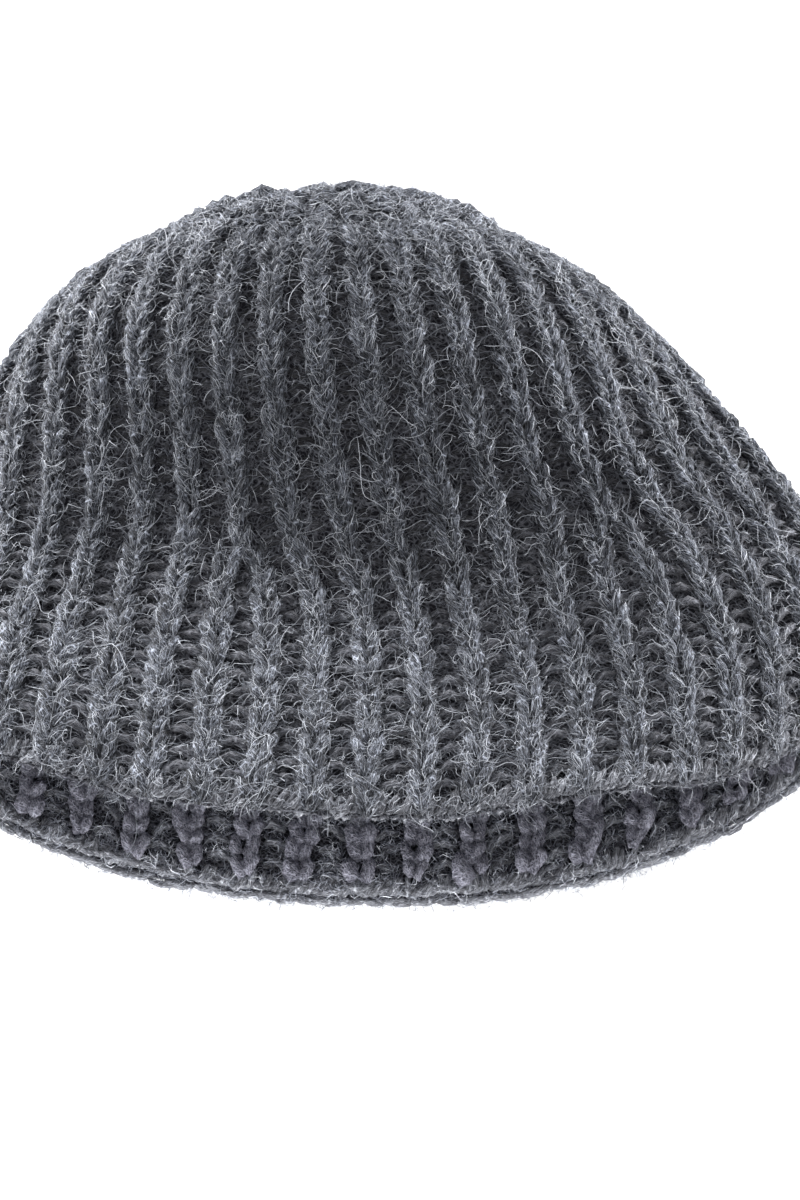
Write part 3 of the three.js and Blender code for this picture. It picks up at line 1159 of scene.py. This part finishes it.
@dataclass
class Backing:
    """The closed fabric under the yarn, ribbed inside and out.

    Heights over the cloth's middle are in millimetres and the rest are shares of the way.
    """

    columns_per_rib: int = 4
    outer_rows: int = 56
    inner_rows: int = 32
    edge_rows: int = 5
    outer_end: float = 0.985
    inner_end: float = 0.93
    rib: float = 0.8
    valley: float = -0.2
    plain: float = 0.8
    edge_round: float = 1.2
    merged_ribs: tuple[float, float] = (0.5, 0.9)
    starting: tuple[float, float] = (0.0, 0.03)
    ending: tuple[float, float] = (0.76, 0.86)

    def wave(self, cloth: Cloth, line: np.ndarray, share: float) -> np.ndarray:
        """Returns 1 under the outer ribs and 0 under the valleys, and a half at the ends."""
        off = np.abs(line - cloth.decrease_every * np.round(line / cloth.decrease_every))
        merging = float(smooth(share, cloth.decrease_start, cloth.decrease_end))
        filled = merging * (1 - smooth(off, *self.merged_ribs))
        wave = np.maximum(0.5 - 0.5 * np.cos(2 * np.pi * line), filled)
        plain = max(float(smooth(share, *self.ending)), 1 - float(smooth(share, *self.starting)))
        return wave * (1 - plain) + 0.5 * plain

    def profile(self, cloth: Cloth) -> np.ndarray:
        """Returns the fabric's points, row after row, (rows, columns, 3).

        They run down the outer face, round the rim and up the inner face.
        """
        line = np.arange(cloth.ribs * self.columns_per_rib) / self.columns_per_rib
        rows = []
        for share in np.linspace(self.outer_end, 0.0, self.outer_rows):
            height = self.valley + (self.rib - self.valley) * self.wave(cloth, line, share)
            rows.append(self.row(cloth, line, share, 0.0, height))
        for angle in np.linspace(np.pi / 2, -np.pi / 2, self.edge_rows + 2)[1:-1]:
            push = -self.edge_round * np.cos(angle)
            rows.append(self.row(cloth, line, 0.0, push, self.plain * np.sin(angle)))
        for share in np.linspace(0.0, self.inner_end, self.inner_rows):
            height = self.valley + (self.rib - self.valley) * (1 - self.wave(cloth, line, share))
            rows.append(self.row(cloth, line, share, 0.0, -height))
        return np.array(rows)

    def build(self, cloth: Cloth, finish: bpy.types.Material) -> bpy.types.Object:
        """Builds the fabric as one closed mesh, with a fan of faces at each end.

        Args:
            cloth: The cloth that it follows.
            finish: Its material.
        """
        grid = self.profile(cloth)
        rows, columns = grid.shape[:2]
        ends = grid[[0, -1]].mean(axis=1)
        vertices = np.concatenate([grid.reshape(-1, 3), ends])
        row, column = np.divmod(np.arange((rows - 1) * columns), columns)
        after = (column + 1) % columns
        quads = np.stack([
            row * columns + column, (row + 1) * columns + column,
            (row + 1) * columns + after, row * columns + after,
        ], axis=1)
        place = np.arange(columns)
        nearby = (place + 1) % columns
        top = len(vertices) - 2
        low = (rows - 1) * columns
        fans = np.concatenate([
            np.stack([np.full(columns, top), place, nearby], axis=1),
            np.stack([np.full(columns, top + 1), low + nearby, low + place], axis=1),
        ])
        corners = np.concatenate([quads.ravel(), fans.ravel()])
        sizes = np.concatenate([np.full(len(quads), 4), np.full(len(fans), 3)])
        piece = mesh_piece("fabric_ground", vertices, corners, sizes, finish)
        bpy.ops.object.select_all(action="DESELECT")
        piece.select_set(True)
        bpy.context.view_layer.objects.active = piece
        bpy.ops.object.mode_set(mode="EDIT")
        bpy.ops.mesh.select_all(action="SELECT")
        bpy.ops.mesh.normals_make_consistent(inside=False)
        bpy.ops.object.mode_set(mode="OBJECT")
        return piece

    @staticmethod
    def row(cloth: Cloth, line: np.ndarray, share: float, push: float,
            height: np.ndarray | float) -> np.ndarray:
        """Returns one row of points at a height over the cloth's middle."""
        shares = np.full(len(line), share)
        spot = cloth.at(cloth.round_place(line, shares), shares)
        return spot.point + spot.up * push + spot.out * np.broadcast_to(height, len(line))[:, None]


def drawn(roots: Sequence[Strands], count: int,
          rng: np.random.Generator) -> tuple[np.ndarray, np.ndarray, np.ndarray]:
    """Picks one strand for each of many hairs.

    Args:
        roots: The strands to pick from.
        count: How many hairs there are.
        rng: The source of the picks.

    Returns:
        For each hair its strand's path at even steps, its radii there and its way out.
    """
    steps = np.linspace(0.0, 1.0, READ_STEPS)
    paths = np.concatenate([through(source.at_controls(), steps) for source in roots])
    radii = np.concatenate([source.radii_at(steps) for source in roots])
    out = np.concatenate([source.out for source in roots])
    chosen = rng.integers(0, len(paths), count)
    return paths[chosen], radii[chosen], out[chosen]


def read_along(values: np.ndarray, place: np.ndarray) -> np.ndarray:
    """Reads values at places along each of many paths.

    Args:
        values: Values at even steps, (count, steps, width).
        place: Places from 0 to 1, (count, points).
    """
    last = values.shape[1] - 1
    step = np.clip(place, 0.0, 1.0) * last
    low = np.minimum(step.astype(int), last - 1)
    part = (step - low)[..., None]
    rows = np.arange(len(values))[:, None]
    return values[rows, low] * (1 - part) + values[rows, low + 1] * part


@dataclass
class ClingingHair:
    """Hairs that lie along the yarn and wind round it, as its own fibres do.

    Lengths are in millimetres, angles in radians and shades from 0, dark, to 1, light.
    """

    count: int
    shortest: float = 2.5
    longest: float = 5.0
    thick: float = 0.06
    open_angle: float = 1.7
    wind: float = 0.5
    stray: float = 0.22
    lift: float = 0.35
    shade: float = 0.5
    shade_spread: float = 0.30
    # painted shade at the hair's root and tip
    painted_end_shade: float = 0.2

    def grow(self, roots: Sequence[Strands], mould: StrandMould,
             rng: np.random.Generator) -> Strands:
        """Grows hairs along the strands of the yarn.

        Args:
            roots: The strands that they lie on.
            mould: The form of one hair.
            rng: The source of their places and ways.

        Returns:
            The hairs.
        """
        paths, radii, out = drawn(roots, self.count, rng)
        reach = np.linalg.norm(np.diff(paths, axis=1), axis=2).sum(axis=1)
        run = rng.uniform(self.shortest, self.longest, self.count) / reach
        start = rng.uniform(-0.1, 0.9, self.count) - run * 0.3
        t = mould.levels[None]
        place = start[:, None] + run[:, None] * t
        point = read_along(paths, place)
        thick = read_along(radii[..., None], place)
        tangent = unit(read_along(np.gradient(paths, axis=1), place))
        side = unit(np.cross(out[:, None], tangent))
        top = np.cross(tangent, side)
        angle = rng.uniform(-self.open_angle, self.open_angle, (self.count, 1))
        turn = rng.normal(0, self.wind, (self.count, 1))
        bend = rng.normal(0, self.wind * 0.6, (self.count, 1))
        angle = (angle + turn * (t - 0.5) + bend * (t - 0.5) ** 2 * 4)[..., None]
        normal = top * np.cos(angle) + side * np.sin(angle)
        away = np.abs(rng.normal(0, self.lift, (self.count, 1))) * np.abs(t * 2 - 1) ** 2
        point = point + normal * (thick * 1.02 + away[..., None])
        point = point + rng.normal(0, self.stray, (self.count, 1, 3))
        point = point + rng.normal(0, self.stray * 0.4, point.shape)
        beyond = np.clip(place, 0.0, 1.0) - place
        point = point - tangent * (beyond * reach[:, None])[..., None]
        width = self.thick * rng.uniform(0.7, 1.35, (self.count, 1))
        shade = np.clip(rng.normal(self.shade, self.shade_spread, self.count), 0, 1)
        return Strands(mould, point, np.broadcast_to(width, point.shape[:2]),
                       normal.mean(axis=1), shade, self.painted_end_shade)


@dataclass
class LooseHair:
    """Hairs that leave the yarn, curl and lie over the cloth.

    A hair's way is mixed from the yarn's, the way out, chance and a pull. It bends by its
    curl, winds in turns and is laid flat where it would stand higher than its stand.
    """

    count: int
    shortest: float
    longest: float
    thick: float = 0.045
    along: float = 0.5
    lift: float = 0.5
    spread: float = 0.6
    curl: float = 0.5
    turns: float = 0.8
    turn_size: float = 0.14
    stand: float = 1.6
    pull: tuple[float, float, float] = (0.0, 0.0, 0.0)
    root_angle: float = 1.3
    shade: float = 0.65
    shade_spread: float = 0.22
    # painted shade at the hair's root and tip
    painted_end_shade: float = 0.2

    def grow(self, roots: Sequence[Strands], mould: StrandMould,
             rng: np.random.Generator) -> Strands:
        """Grows hairs out of the strands of the yarn.

        Args:
            roots: The strands that they grow from.
            mould: The form of one hair.
            rng: The source of their places and ways.

        Returns:
            The hairs.
        """
        paths, radii, out = drawn(roots, self.count, rng)
        place = rng.uniform(0.1, 0.9, (self.count, 1))
        point = read_along(paths, place)[:, 0]
        radius = read_along(radii[..., None], place)[:, 0]
        tangent = unit(read_along(np.gradient(paths, axis=1), place)[:, 0])
        side = unit(np.cross(out, tangent))
        angle = rng.uniform(-self.root_angle, self.root_angle, (self.count, 1))
        normal = np.cross(tangent, side) * np.cos(angle) + side * np.sin(angle)
        start = point + normal * radius
        ways = np.sign(rng.uniform(-1, 1, (self.count, 1)))
        way = unit(
            tangent * ways * self.along + normal * self.lift
            + rng.normal(0, self.spread, (self.count, 3)) + np.array(self.pull)
        )
        length = rng.uniform(self.shortest, self.longest, (self.count, 1, 1))
        bend = unit(rng.normal(0, 1, (self.count, 3))) * self.curl
        t = mould.levels[None, :, None]
        hair = length * (way[:, None] * t + bend[:, None] * t * t) * 0.8
        one = unit(np.cross(way, rng.normal(0, 1, (self.count, 3))))
        two = np.cross(way, one)
        phase = rng.uniform(0, 2 * np.pi, (self.count, 1, 1))
        turn = 2 * np.pi * self.turns * t * rng.uniform(0.5, 1.5, (self.count, 1, 1)) + phase
        reach = self.turn_size * length * np.minimum(t * 3, 1.0)
        hair = hair + reach * (np.cos(turn) * one[:, None] + np.sin(turn) * two[:, None])
        height = (hair * out[:, None]).sum(axis=2, keepdims=True)
        hair = hair + out[:, None] * (self.stand * np.tanh(height / self.stand) - height)
        width = self.thick * rng.uniform(0.7, 1.3, (self.count, 1))
        shade = np.clip(rng.normal(self.shade, self.shade_spread, self.count), 0, 1)
        facing = unit(out + rng.normal(0, 0.4, (self.count, 3)))
        return Strands(mould, start[:, None] + hair, np.broadcast_to(width, hair.shape[:2]),
                       facing, shade, self.painted_end_shade)


Pieces = dict[str, tuple[Strands, bpy.types.Material]]
Roots = list[Strands]
FUZZ = dict(along=0.25, lift=0.35, spread=0.8, curl=0.6, turns=0.5)


class HairKind(NamedTuple):
    """One piece of hairs: its name, what they grow from, their form, finish and cut."""

    name: str
    roots: Roots
    mould: StrandMould
    finish: bpy.types.Material
    cut: ClingingHair | LooseHair


class Beanie:
    """The whole cap: its fabric, stitches, edge, crown and hairs.

    Rows are counted from the rim. Painted light makes the valleys paler near the brim, where
    they also lie less deep, and the cast-on edge paler where it lies low.
    """

    valley_rows = range(1, 40)
    inner_leg_rows = range(1, 11)
    inner_loop_rows = range(0, 12)
    gathered_from = 0.775
    brim_start = 0.12
    brim_end = 0.36
    brim_painted_light = 0.75
    brim_rise = 0.9
    wraps_per_rib = 8
    loops_per_rib = 9
    edge_share = 0.004
    rim_share = -0.006
    edge_row = 4.2
    wrap_width = 7.0
    loop_width = 7.5
    loop_spread = 1.2
    low_edge_painted_light = 0.22
    last_share = 0.975

    def __init__(self) -> None:
        """Makes the cloth, the moulds and the finishes."""
        self.cloth = Cloth()
        self.layout = Layout(self.cloth)
        self.round_yarn = StrandMould(5, (0.0, 0.10, 0.36, 0.64, 0.90, 1.0), True)
        self.plain_yarn = StrandMould(5, (0.0, 0.16, 0.50, 0.84, 1.0), True)
        self.nap_hair = StrandMould(2, (0.0, 0.33, 0.70, 1.0), True)
        self.halo_hair = StrandMould(2, tuple(np.linspace(0, 1, 8)), True)
        self.long_hair = StrandMould(2, tuple(np.linspace(0, 1, 15)), True)
        self.fuzzy = FuzzyYarn().material()
        # a paler copy of the fuzzy yarn for the inside and the cast-on edge: partly their own paler
        # tone, partly painted light
        self.lit = FuzzyYarn("Inner yarn with painted light", (0.025, 0.025, 0.032), (0.19, 0.197, 0.225),
                             (0.62, 0.64, 0.70)).material()
        self.smooth = SmoothYarn().material()
        # painted shade: a darker copy of the fuzzy yarn for the valleys, which lie in shade
        self.shaded = FuzzyYarn("Shaded yarn", (0.009, 0.009, 0.012), (0.042, 0.043, 0.053),
                                (0.24, 0.246, 0.28)).material()
        self.backing = BackingYarn().material()
        self.hair = Hair().material()
        # paler hair for the inside, the low edge and the rim: partly its own paler tone, partly
        # painted light
        self.pale_painted_light_hair = Hair("Inner hair with painted light", (0.03, 0.031, 0.040), (0.30, 0.32, 0.38),
                              (0.88, 0.92, 1.0)).material()
        self.plain_hair = Hair("Plain hair", (0.04, 0.04, 0.052), (0.20, 0.205, 0.26),
                               (0.60, 0.61, 0.73)).material()
        self.rng = np.random.default_rng(SEED)

    def add(self, name: str, strands: Strands, finish: bpy.types.Material) -> Strands:
        """Adds strands to the cap as one piece.

        Args:
            name: The piece's name.
            strands: Its strands.
            finish: Its material.

        Returns:
            The strands, for hairs to grow from.
        """
        piece = strands.joined(name, finish)
        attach(piece, BODY)
        LOG.info("%s: %d strands, %d triangles", name, len(strands.paths),
                 sum(len(face.vertices) - 2 for face in piece.data.polygons))
        return strands

    def dress(self) -> None:
        """Builds every piece of the cap."""
        ground = Backing().build(self.cloth, self.backing)
        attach(ground, BODY)
        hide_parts(NODE)
        LOG.info("fabric_ground: %d faces", len(ground.data.polygons))
        self.hairs(self.stitches())

    def stitches(self) -> dict[str, Strands]:
        """Lays the yarn of both faces, the edge and the crown.

        Returns:
            The strands of each piece by its name.
        """
        laid = {}
        for part in (self.ribs, self.valleys, self.inner_face, self.edge, self.crown):
            for name, (strands, finish) in part().items():
                laid[name] = self.add(name, strands, finish)
        return laid

    def ribs(self) -> Pieces:
        """Lays the outer face's ribs, as pairs of legs, and the loops of the gathered crown."""
        cloth, rng = self.cloth, self.rng
        wales = self.layout.wales(range(self.layout.rows))
        upper = self.layout.is_upper(wales)
        gathered = wales.share > self.gathered_from
        pieces = {}
        for name, chosen, mould in (
            ("rib_wales_upper", upper & ~gathered, self.round_yarn),
            ("rib_wales_lower", ~upper & ~gathered, self.plain_yarn),
        ):
            leg = Yarn(mould, KNIT_LEG, Face.OUTER, 1.0, 0.19, True, True)
            pieces[name] = (leg.lay(cloth, wales.those(chosen), rng), self.fuzzy)
        loop = Yarn(self.plain_yarn, PURL_LOOP, Face.OUTER, 0.9, 1.25, wander=0.7, tilt=22.0)
        pieces["crown_loops"] = (loop.lay(cloth, wales.those(gathered), rng), self.fuzzy)
        return pieces

    def valleys(self) -> Pieces:
        """Lays the loops of the outer face's valleys."""
        stitches = self.layout.valleys(self.valley_rows)
        loop = Yarn(self.plain_yarn, PURL_LOOP, Face.OUTER, -0.8, 1.1, wander=0.5, tilt=9.0)
        strands = loop.lay(self.cloth, stitches, self.rng)
        near_brim = 1 - smooth(stitches.share, self.brim_start, self.brim_end)
        # painted light: near the brim the valleys' painted shade is lifted, as the flatter brim is
        # better lit
        strands.shade += self.brim_painted_light * near_brim
        strands.paths += strands.out[:, None] * (self.brim_rise * near_brim)[:, None, None]
        return {"valley_loops": (strands, self.shaded)}

    def inner_face(self) -> Pieces:
        """Lays the inner face as deep as it is seen: legs in columns and loops between them."""
        leg = Yarn(self.round_yarn, INNER_LEG, Face.INNER, 1.9, 0.26, True, True, tilt=9.0,
                   swell=0.12, lumps=0.15)
        loop = Yarn(self.plain_yarn, PURL_LOOP, Face.INNER, 0.3, 1.1, wander=0.6, tilt=16.0)
        columns = leg.lay(self.cloth, self.layout.valleys(self.inner_leg_rows), self.rng)
        between = loop.lay(self.cloth, self.layout.wales(self.inner_loop_rows), self.rng)
        return {"inner_wales": (columns, self.smooth), "inner_loops": (between, self.lit)}

    def edge(self) -> Pieces:
        """Lays the cast-on edge: strands that wrap the rim over loops that run round it."""
        loop = Yarn(self.plain_yarn, EDGE_LOOP, Face.OUTER, 0.0, 0.95, wander=0.45, tilt=9.0)
        line = np.arange(self.cloth.ribs * self.loops_per_rib) / self.loops_per_rib
        side = np.arange(len(line)) % 3 - 1.0
        share = np.where(side == 0, self.rim_share, self.edge_share)
        loops = loop.lay(self.cloth, self.edge_stitches(line, share, self.loop_width), self.rng)
        loops.paths += loops.out[:, None] * (side * self.loop_spread)[:, None, None]
        wrap = Yarn(self.round_yarn, EDGE_WRAP, Face.OUTER, 0.0, 0.85, wander=0.4, tilt=16.0)
        line = np.arange(self.cloth.ribs * self.wraps_per_rib) / self.wraps_per_rib
        share = np.full(len(line), self.edge_share)
        wraps = wrap.lay(self.cloth, self.edge_stitches(line, share, self.wrap_width), self.rng)
        loops = loops.within(LOW_RIM)
        # painted light: the cast-on edge is paler where it lies low, standing for the light it gets
        # from the front
        for strands in (wraps, loops):
            middle_height = strands.paths[:, 2, 2]
            strands.shade += np.where(middle_height < LOW_RIM.high, self.low_edge_painted_light, 0.0)
        return {"cast_on_edge": (wraps, self.lit), "edge_loops": (loops, self.lit)}

    def edge_stitches(self, line: np.ndarray, share: np.ndarray, width: float) -> Stitches:
        """Returns stitches of one width along the edge."""
        return Stitches(line, share, np.full(len(line), width), np.full(len(line), self.edge_row))

    def crown(self) -> Pieces:
        """Lays the last stitches, drawn together at the crown's middle."""
        lines = self.layout.lines_at(self.last_share)
        share = np.full(len(lines), self.last_share)
        spot = self.cloth.at(self.cloth.round_place(lines, share), share)
        stitches = Stitches(lines, share, np.full(len(lines), 3.0), spot.rise_scale * 0.03)
        leg = Yarn(self.round_yarn, KNIT_LEG, Face.OUTER, 1.8, 1.1, True)
        return {"crown_gather": (leg.lay(self.cloth, stitches, self.rng), self.fuzzy)}

    def hairs(self, laid: dict[str, Strands]) -> None:
        """Grows the nap on the yarn, the fuzz, the curled hairs and the long ones.

        Args:
            laid: The strands of each piece by its name.
        """
        crown = [laid["crown_loops"], laid["crown_gather"]]
        upper = [laid["rib_wales_upper"]]
        lower = [laid["rib_wales_lower"]]
        valleys = [laid["valley_loops"]]
        brim = [laid["valley_loops"].within(BRIM)]
        edge = [laid["cast_on_edge"].within(HIGH_RIM)]
        low_edge = [laid["cast_on_edge"].within(LOW_RIM), laid["edge_loops"]]
        inner = [laid["inner_loops"].within(MOUTH)]
        wales = [laid["inner_wales"].within(MOUTH)]
        kinds = (
            *self.outer_hairs(upper, crown, lower, valleys, brim),
            *self.edge_hairs(edge, low_edge),
            *self.inner_hairs(inner, wales),
            *self.curls(upper + crown, valleys, lower, low_edge + inner),
            *self.longest_hairs(upper + crown, edge),
        )
        for name, roots, mould, finish, cut in kinds:
            self.add(name, cut.grow(roots, mould, self.rng).kept_near(), finish)

    def outer_hairs(self, upper: Roots, crown: Roots, lower: Roots, valleys: Roots,
                    brim: Roots) -> tuple[HairKind, ...]:
        """Returns the short hairs of the outer face."""
        mould, finish = self.nap_hair, self.hair
        return (
            HairKind("nap_upper", upper, mould, finish, ClingingHair(
                39000, thick=0.05, wind=0.7, stray=0.3, shade=0.54)),
            HairKind("fuzz_upper", upper, mould, finish, LooseHair(
                15500, 1.8, 4.5, stand=1.0, shade=0.55, **FUZZ)),
            # painted light: the crown's nap and fuzz, at the default 0.65, are lighter, as the top
            # catches the light
            HairKind("nap_crown", crown, mould, finish, ClingingHair(
                5000, thick=0.05, wind=1.3, stray=0.9, lift=0.9, shade=0.6)),
            HairKind("fuzz_crown", crown, mould, finish, LooseHair(
                5000, 1.8, 4.5, stand=1.2, **FUZZ)),
            HairKind("nap_lower", lower, mould, finish, ClingingHair(2500, thick=0.09)),
            # painted shade: the valleys' nap is darker, as the valleys lie in shade
            HairKind("nap_valleys", valleys, mould, finish, ClingingHair(
                7000, thick=0.05, stray=0.5, shade=0.22)),
            HairKind("nap_brim", brim, mould, finish, ClingingHair(
                4500, thick=0.055, wind=1.2, stray=0.9, lift=1.0, shade=0.52)),
        )

    def edge_hairs(self, edge: Roots, low_edge: Roots) -> tuple[HairKind, ...]:
        """Returns the short hairs of the cast-on edge."""
        mould = self.nap_hair
        return (
            HairKind("nap_edge", edge, mould, self.hair, ClingingHair(
                2500, 1.8, 4.0, 0.05, open_angle=2.6, wind=1.4, stray=0.9, lift=0.9)),
            HairKind("fuzz_edge", edge, mould, self.hair, LooseHair(
                4000, 1.8, 4.5, 0.05, stand=1.2, shade=0.55, **FUZZ)),
            HairKind("nap_low_edge", low_edge, mould, self.pale_painted_light_hair, ClingingHair(
                4500, 1.8, 4.0, open_angle=2.6, wind=1.6, stray=1.1, lift=0.9)),
            HairKind("fuzz_low_edge", low_edge, mould, self.pale_painted_light_hair, LooseHair(
                9000, 1.5, 4.0, 0.05, stand=0.9, shade=0.55, **FUZZ)),
        )

    def inner_hairs(self, inner: Roots, wales: Roots) -> tuple[HairKind, ...]:
        """Returns the short hairs of the inner face: its hairy loops and its smooth legs."""
        mould = self.nap_hair
        return (
            HairKind("nap_inner", inner, mould, self.pale_painted_light_hair, ClingingHair(
                4000, 1.8, 4.0, 0.05, wind=1.4, stray=1.0, lift=0.6)),
            HairKind("fuzz_inner", inner, mould, self.pale_painted_light_hair, LooseHair(
                6000, 1.5, 3.5, 0.05, stand=1.4, shade=0.5, **FUZZ)),
            HairKind("fuzz_inner_wales", wales, mould, self.plain_hair, LooseHair(
                3500, 1.0, 2.5, 0.05, stand=0.5, shade=0.5, **FUZZ)),
        )

    def curls(self, upper: Roots, valleys: Roots, lower: Roots,
              rim: Roots) -> tuple[HairKind, ...]:
        """Returns the curled hairs that stand off the yarn."""
        mould, finish = self.halo_hair, self.hair
        return (
            HairKind("curls_upper_a", upper, mould, finish, LooseHair(
                9700, 4, 8, 0.035, turns=1.1)),
            HairKind("curls_upper_b", upper, mould, finish, LooseHair(
                7000, 5, 11, 0.035, spread=0.8, stand=2.2, shade=0.7)),
            # painted shade: the valleys' curls are darker than those on the ribs
            HairKind("curls_valleys", valleys, mould, finish, LooseHair(
                3500, 4, 9, 0.035, spread=0.8, stand=1.4, shade=0.40)),
            HairKind("curls_lower", lower, mould, finish, LooseHair(500, 4, 9)),
            HairKind("curls_rim", rim, mould, self.pale_painted_light_hair, LooseHair(
                1800, 3, 7, 0.035, turns=1.2, spread=0.9, stand=1.4, shade=0.5)),
        )

    def longest_hairs(self, upper: Roots, edge: Roots) -> tuple[HairKind, ...]:
        """Returns the few long hairs on the ribs and at the rim."""
        mould, finish = self.long_hair, self.hair
        return (
            HairKind("long_hairs", upper, mould, finish, LooseHair(
                650, 12, 26, 0.035, turns=1.2, turn_size=0.08, stand=3.0, shade=0.7)),
            HairKind("rim_hairs", edge, mould, finish, LooseHair(
                350, 5, 10, 0.035, turns=1.0, turn_size=0.12, stand=2.0,
                pull=(0.0, -0.3, -0.2))),
        )


@dataclass(frozen=True)
class SoftLight:
    """An area light that faces the cap, in metres and watts."""

    name: str
    place: tuple[float, float, float]
    width: float
    height: float
    power: float

    def add(self) -> None:
        """Adds the light to the studio."""
        bpy.ops.object.light_add(type="AREA", location=self.place)
        light = bpy.context.object
        light.name = self.name
        light.data.shape = "RECTANGLE"
        light.data.size = self.width
        light.data.size_y = self.height
        light.data.energy = self.power
        light.rotation_euler = (-light.location).to_track_quat("-Z", "Y").to_euler()


LIGHTS = (
    SoftLight("Key", (-0.50, 0.48, 0.22), 0.35, 0.35, 19.0),
    SoftLight("Fill", (0.85, 0.32, 0.16), 0.30, 0.30, 23.5),
    SoftLight("Strip", (-0.02, -0.140, 0.012), 0.26, 0.012, 0.12),
    SoftLight("Front", (-0.04, -0.17, 0.12), 0.26, 0.012, 0.09),
)


@dataclass
class Studio:
    """The floor, the air and the camera of the photo.

    The camera looks at its target, in the maker's frame in millimetres, from an elevation in
    degrees. The floor's size and the camera's nearest and farthest sight are in metres.
    """

    target: tuple[float, float, float] = (4.0, 80.0, 20.0)
    elevation: float = 58.0
    distance: float = 620.0
    lens: float = 111.6
    sensor: float = 36.0
    nearest: float = 0.01
    farthest: float = 20.0
    floor_size: float = 16.0
    sky: float = 0.58

    def build(self) -> None:
        """Builds the studio."""
        self.floor()
        for light in LIGHTS:
            light.add()
        world = bpy.data.worlds.new("Studio air")
        world.use_nodes = True
        world.node_tree.nodes["Background"].inputs["Color"].default_value = (1, 1, 1, 1)
        world.node_tree.nodes["Background"].inputs["Strength"].default_value = self.sky
        bpy.context.scene.world = world
        bpy.context.scene.view_settings.view_transform = "Standard"
        self.camera()

    def floor(self) -> None:
        """Lays the floor."""
        bpy.ops.mesh.primitive_plane_add(size=self.floor_size, location=(0, 0, 0))
        floor = bpy.context.object
        floor.name = "floor"
        floor.data.materials.append(PaleFloor().material())

    def camera(self) -> None:
        """Places the photo's camera."""
        data = bpy.data.cameras.new("Camera")
        data.sensor_fit = "HORIZONTAL"
        data.sensor_width = self.sensor
        data.lens = self.lens
        data.clip_start = self.nearest
        data.clip_end = self.farthest
        camera = bpy.data.objects.new("Camera", data)
        angle = math.radians(self.elevation)
        place = np.array(self.target) - np.array(ORIGIN)
        place += self.distance * np.array([0.0, -math.cos(angle), math.sin(angle)])
        camera.location = place * MM
        camera.rotation_euler = (math.pi / 2 - angle, 0.0, 0.0)
        bpy.context.scene.collection.objects.link(camera)
        bpy.context.scene.camera = camera


def main() -> None:
    """Builds the cap and its studio."""
    logging.basicConfig(level=logging.INFO)
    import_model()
    Beanie().dress()
    Studio().build()


if __name__ == "__main__":
    main()
